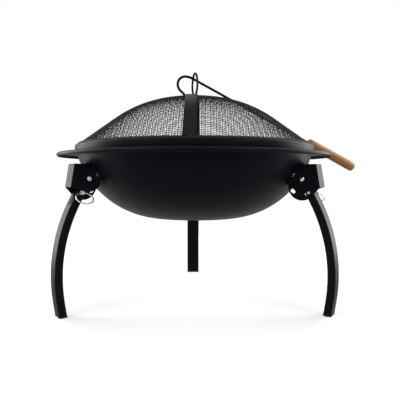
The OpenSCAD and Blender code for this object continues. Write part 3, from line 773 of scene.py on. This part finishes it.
class FIREPIT_OT_poker(bpy.types.Operator):
    """Bend the poker's rod into its hook and turn its wooden grip"""
    bl_idname = "fire_pit.poker"
    bl_label = "Poker"

    def execute(self, context):
        poker = group("poker")
        dome = Dome()
        rod_z = (
            dome.top - dome.curve_r
            + (dome.curve_r + poker.rod_r + poker.rest) / cos(poker.slope)
            + dome.flat_r * tan(poker.slope)
        )
        place = (
            Matrix.Translation((0, 0, rod_z))
            @ Matrix.Rotation(poker.turn, 4, "Z")
            @ Matrix.Rotation(poker.slope, 4, "Y")
            @ Matrix.Translation((-poker.lead, 0, 0))
        )
        bm = bmesh.new()
        ring = bmesh.ops.create_circle(bm, cap_ends=True, segments=18, radius=poker.rod_r)["verts"]
        upright = Matrix.Translation((poker.run + ROD_IN_GRIP, 0, 0)) @ Matrix.Rotation(pi / 2, 4, "Y")
        bmesh.ops.transform(bm, matrix=upright, verts=ring)
        edges = bm.edges[:]
        for step in (ROD_IN_GRIP, poker.run / 2, poker.run / 2):
            edges = self.extend(bm, edges, (-step, 0, 0))
        turn = pi / 2 + poker.lead_turn
        wide_c = Vector((0, 0, -poker.lead_r))
        close_c = wide_c + (poker.lead_r - poker.hook_r) * Vector((cos(turn), 0, sin(turn)))
        for centre, swing in ((wide_c, poker.lead_turn), (close_c, poker.hook_turn)):
            bent = bmesh.ops.spin(
                bm, geom=edges, cent=centre, axis=(0, -1, 0), angle=swing, steps=24, use_merge=False,
            )
            edges = [e for e in bent["geom_last"] if isinstance(e, bmesh.types.BMEdge)]
        turn += poker.hook_turn
        onward = Vector((-sin(turn), 0, cos(turn)))
        edges = self.extend(bm, edges, onward * (poker.tail - poker.rod_r / 2))
        for i in range(1, 6):
            a0, a1 = pi / 2 * (i - 1) / 5, pi / 2 * i / 5
            edges = self.extend(bm, edges, onward * (poker.rod_r / 2 * (sin(a1) - sin(a0))))
            verts = list({v for e in edges for v in e.verts})
            middle = sum((v.co for v in verts), Vector()) / len(verts)
            size = max(cos(a1), 0.02) / max(cos(a0), 0.02)
            bmesh.ops.scale(bm, vec=(size, size, size), space=Matrix.Translation(-middle), verts=verts)
        bmesh.ops.contextual_create(bm, geom=edges)
        bmesh.ops.recalc_face_normals(bm, faces=bm.faces[:])
        bmesh.ops.transform(bm, matrix=place, verts=bm.verts[:])
        finish_piece("hooked_rod", bm, "poker", satin_coat(), ("poker_rod",))
        near, far = poker.run, poker.run + poker.grip_len
        hole = poker.rod_r + GRIP_PLAY
        swell = poker.grip_far - poker.grip_near
        run = poker.grip_len - 2 * GRIP_END
        outline = [(hole, near), (poker.grip_near - GRIP_CHAMFER, near)]
        outline += [(poker.grip_near + swell * i / 6, near + GRIP_END + run * i / 6) for i in range(7)]
        outline += [(poker.grip_far - GRIP_CHAMFER, far), (0, far), (0, near + GRIP_BORE), (hole, near + GRIP_BORE)]
        bm = bmesh.new()
        turned(bm, outline, 40, place @ Matrix.Rotation(pi / 2, 4, "Y"), bevel=GRIP_EDGE)
        finish_piece("turned_grip", bm, "poker", varnished_wood(), ("poker_grip",), sharp=50)
        return {"FINISHED"}

    def extend(self, bm, edges, move):
        """Extrudes a ring of edges and moves its new end."""
        made = bmesh.ops.extrude_edge_only(bm, edges=edges)["geom"]
        bmesh.ops.translate(bm, vec=move, verts=[v for v in made if isinstance(v, bmesh.types.BMVert)])
        return [e for e in made if isinstance(e, bmesh.types.BMEdge)]


class FIREPIT_OT_stage(bpy.types.Operator):
    """Set the pale floor, the soft light and the camera"""
    bl_idname = "fire_pit.stage"
    bl_label = "Studio"

    def light(self, name, place, aim, size, watts):
        """Hangs a soft light that faces a point and stays out of the picture."""
        lamp = bpy.data.lights.new(name, "AREA")
        lamp.shape = "RECTANGLE"
        lamp.size, lamp.size_y = size
        lamp.energy = watts
        holder = bpy.data.objects.new(name, lamp)
        facing = (Vector(aim) - Vector(place)).to_track_quat("-Z", "Y")
        holder.matrix_world = Matrix.Translation(place) @ facing.to_matrix().to_4x4()
        holder.visible_camera = False
        bpy.context.scene.collection.objects.link(holder)

    def shown(self, recipe, mirrored):
        """1 for what the camera sees, straight or through a clear piece, and a lower level for what gloss mirrors."""
        seen = recipe.node("ShaderNodeLightPath", output="Is Camera Ray")
        glossy = recipe.node("ShaderNodeLightPath", output="Is Glossy Ray")
        through = recipe.node("ShaderNodeLightPath", output="Is Transmission Ray")
        return seen + through + glossy * mirrored

    def execute(self, context):
        stage = group("stage")
        scene = bpy.context.scene
        scene.view_settings.view_transform = "Standard"
        recipe = Recipe(bpy.data.materials.new("pale_floor"))
        seen = self.shown(recipe, stage.mirrored_floor)
        spot = recipe.place()
        # Near the object the floor is matt and takes its shadow, and far from it the floor glows white
        distance = recipe.node("ShaderNodeVectorMath", {0: spot}, output="Value", operation="LENGTH")
        away = recipe.ramp(distance, 0.25, 1.25)
        glowing = away ** 2 * 0.8 + 0.2
        grain = recipe.noise(spot, 40, 4, 0.6)
        tone = recipe.mix(grain, (0.34, 0.34, 0.345), (0.37, 0.37, 0.37))
        matt = recipe.node("ShaderNodeBsdfDiffuse", {"Color": recipe.mix(seen, tone, (0.9, 0.9, 0.9))})
        glow = recipe.node("ShaderNodeEmission", {"Color": (away * 0.46 + 0.54) * glowing ** -1})
        recipe.node("ShaderNodeOutputMaterial", {
            "Surface": recipe.node("ShaderNodeMixShader", {0: seen * glowing, 1: matt, 2: glow}),
        })
        bm = bmesh.new()
        bmesh.ops.create_grid(bm, x_segments=8, y_segments=8, size=4)
        bmesh.ops.translate(bm, vec=(0, 0, stage.floor_z), verts=bm.verts[:])
        mesh = bpy.data.meshes.new("floor")
        bm.to_mesh(mesh)
        bm.free()
        mesh.materials.append(recipe.owner)
        floor = bpy.data.objects.new("floor", mesh)
        scene.collection.objects.link(floor)
        world = bpy.data.worlds.new("studio")
        scene.world = world
        recipe = Recipe(world)
        level = self.shown(recipe, stage.mirrored_sky) * (1 - stage.sky) + stage.sky
        recipe.node("ShaderNodeOutputWorld", {
            "Surface": recipe.node("ShaderNodeBackground", {"Color": (1, 1, 1, 1), "Strength": level}),
        })
        self.light("left_softbox", (-1.35, 0.45, 0.45), (0, 0, 0.05), (1.1, 1.3), stage.side_light)
        self.light("right_softbox", (1.35, 0.45, 0.45), (0, 0, 0.05), (1.1, 1.3), stage.side_light)
        self.light("top_softbox", (0, 1.3, 1.15), (0, 0, 0.1), (1.6, 0.7), stage.top_light)
        self.light("front_left_softbox", (-1.5, -1.6, 1.1), (0, 0, 0.05), (1.0, 1.0), stage.front_light)
        self.light("front_right_softbox", (1.5, -1.6, 1.1), (0, 0, 0.05), (1.0, 1.0), stage.front_light)
        camera = bpy.data.cameras.new("camera")
        camera.sensor_width = SENSOR_W
        camera.lens = stage.lens
        forward = Vector((sin(stage.yaw) * cos(stage.pitch), cos(stage.yaw) * cos(stage.pitch), -sin(stage.pitch)))
        right = Vector((cos(stage.yaw), -sin(stage.yaw), 0))
        look = Matrix((right, right.cross(forward), -forward)).transposed()
        holder = bpy.data.objects.new("camera", camera)
        holder.matrix_world = (
            Matrix.Rotation(-stage.orbit, 4, "Z")
            @ Matrix.Translation(stage.eye)
            @ look.to_4x4()
            @ Matrix.Rotation(stage.roll, 4, "Z")
        )
        scene.collection.objects.link(holder)
        scene.camera = holder
        return {"FINISHED"}


OPERATORS = (
    FIREPIT_OT_stage, FIREPIT_OT_bowl, FIREPIT_OT_brackets, FIREPIT_OT_legs, FIREPIT_OT_fasteners, FIREPIT_OT_mesh,
    FIREPIT_OT_lid, FIREPIT_OT_poker,
)


class FIREPIT_PT_panel(bpy.types.Panel):
    """Lists the fire pit's pieces and their sizes"""
    bl_idname = "FIREPIT_PT_panel"
    bl_label = "Fire pit"
    bl_space_type = "VIEW_3D"
    bl_region_type = "UI"
    bl_category = "Fire pit"

    def draw(self, context):
        for operator in OPERATORS:
            self.layout.operator(operator.bl_idname)
        for name, sizes in GROUPS.items():
            box = self.layout.box()
            box.label(text=sizes.bl_rna.description)
            for prop in sizes.__annotations__:
                box.prop(getattr(context.scene, name), prop)


def register():
    for name, sizes in GROUPS.items():
        bpy.utils.register_class(sizes)
        setattr(bpy.types.Scene, name, PointerProperty(type=sizes))
    for operator in OPERATORS:
        bpy.utils.register_class(operator)
    bpy.utils.register_class(FIREPIT_PT_panel)


def unregister():
    bpy.utils.unregister_class(FIREPIT_PT_panel)
    for operator in reversed(OPERATORS):
        bpy.utils.unregister_class(operator)
    for name, sizes in reversed(GROUPS.items()):
        delattr(bpy.types.Scene, name)
        bpy.utils.unregister_class(sizes)


def main():
    register()
    for operator in OPERATORS:
        section, call = operator.bl_idname.split(".")
        getattr(getattr(bpy.ops, section), call)()


if __name__ == "__main__":
    main()
